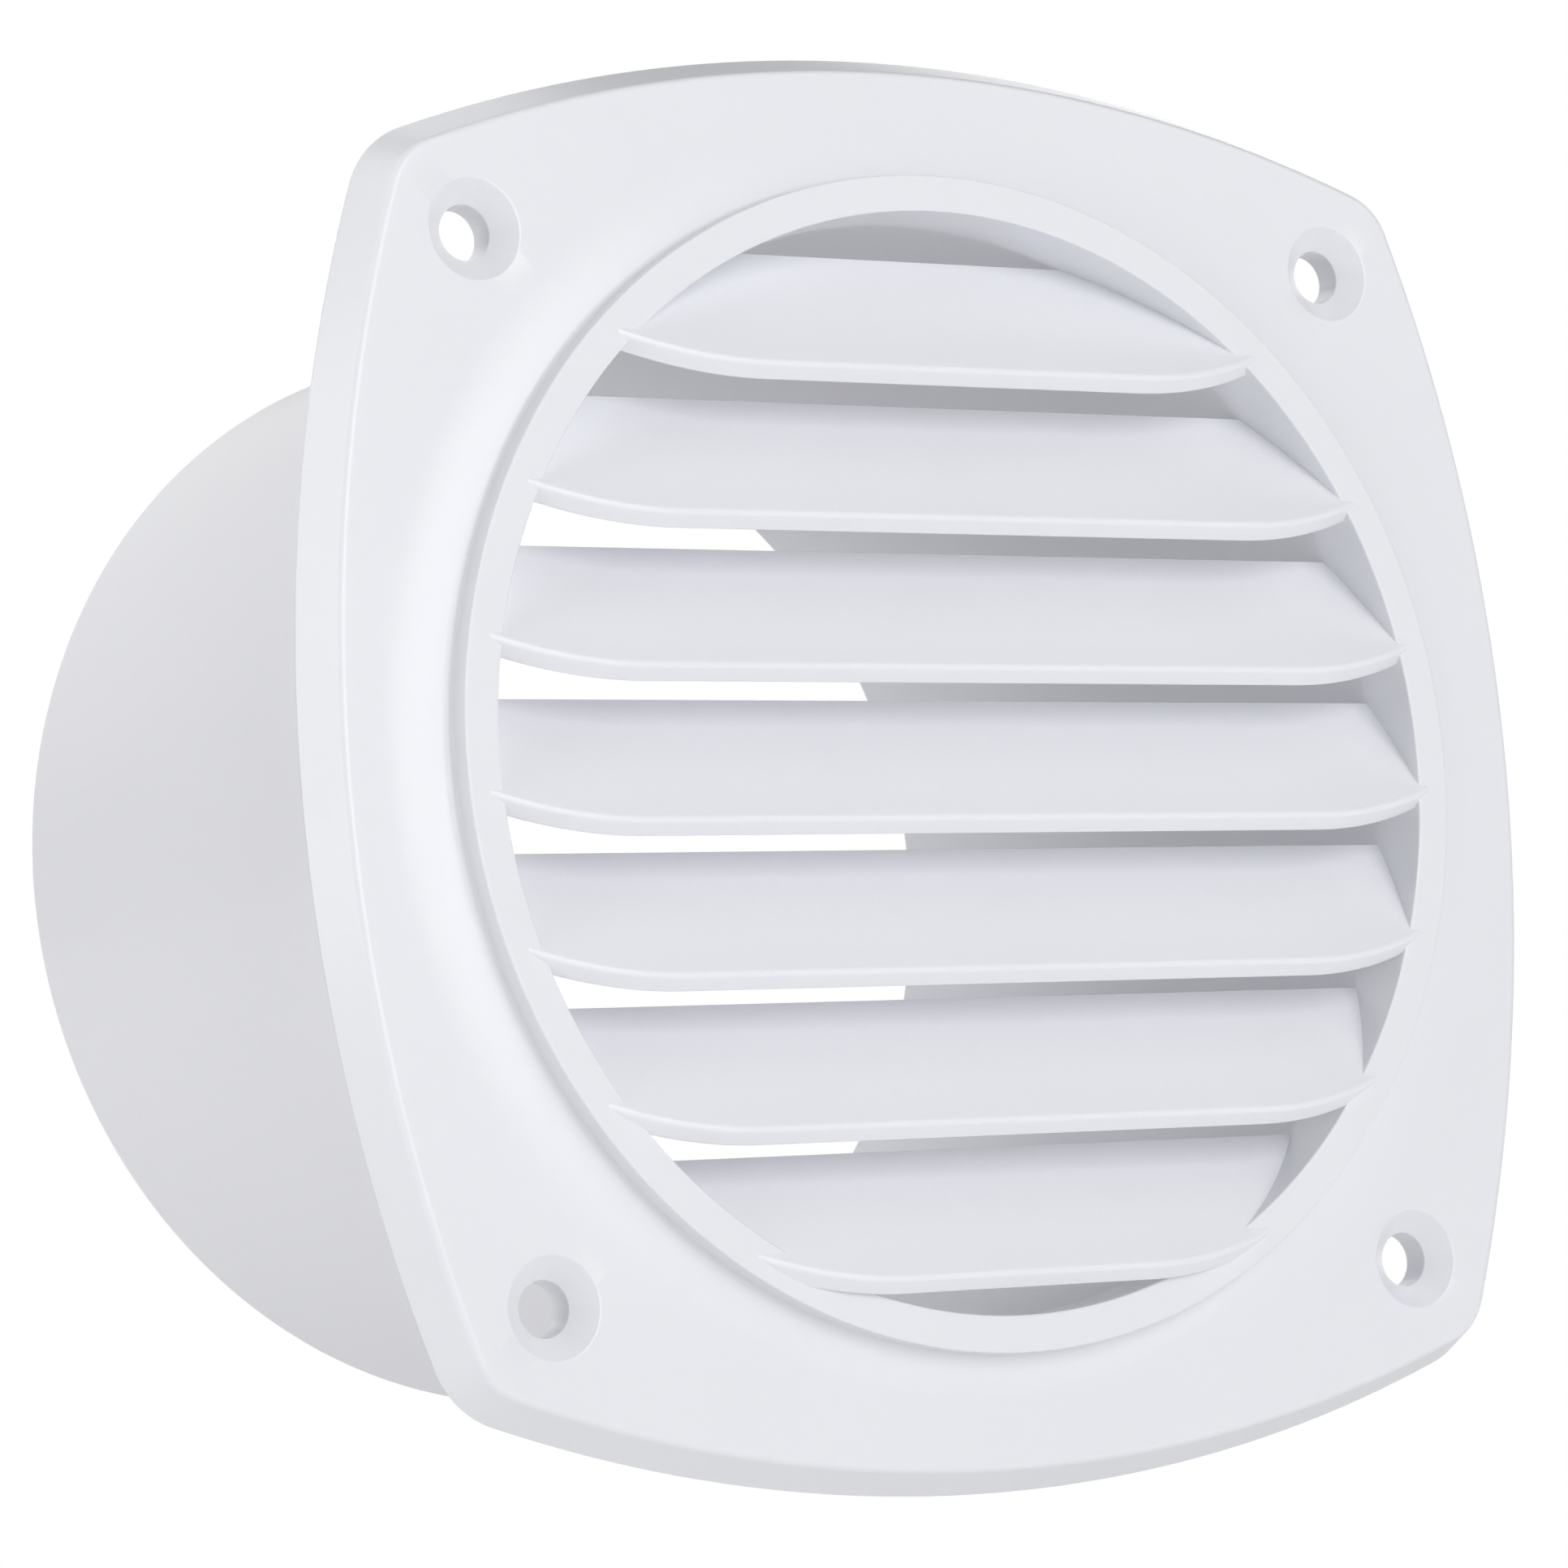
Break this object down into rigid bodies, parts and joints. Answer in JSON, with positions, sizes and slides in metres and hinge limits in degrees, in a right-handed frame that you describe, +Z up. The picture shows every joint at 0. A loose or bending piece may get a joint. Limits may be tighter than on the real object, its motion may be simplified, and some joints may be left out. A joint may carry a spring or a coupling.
{
  "type": "louvred wall vent",
  "caption": "White plastic wall vent: bulged square flange with countersunk corner holes, raised round ring with sloping louvre blades, and a round duct tail behind.",
  "frame": {"origin": "on the duct's axis, in the plane where the flange seats on the wall", "axes": "+Y along the duct into the wall, -Y out of the louvres, +Z up, blades run along X"},
  "size_m": [0.1262, 0.0831, 0.1262],
  "materials": {
    "flange_white": "gloss",
    "ring_white": "gloss",
    "blade_white": "satin",
    "tail_white": "satin"
  },
  "bodies": {
    "root": {"flange_plate": "flange_white", "louvre_ring": "ring_white", "louvre_blade_1": "blade_white", "louvre_blade_2": "blade_white", "louvre_blade_3": "blade_white", "louvre_blade_4": "blade_white", "louvre_blade_5": "blade_white", "louvre_blade_6": "blade_white", "louvre_blade_7": "blade_white", "duct_tail": "tail_white"}
  },
  "joints": []
}
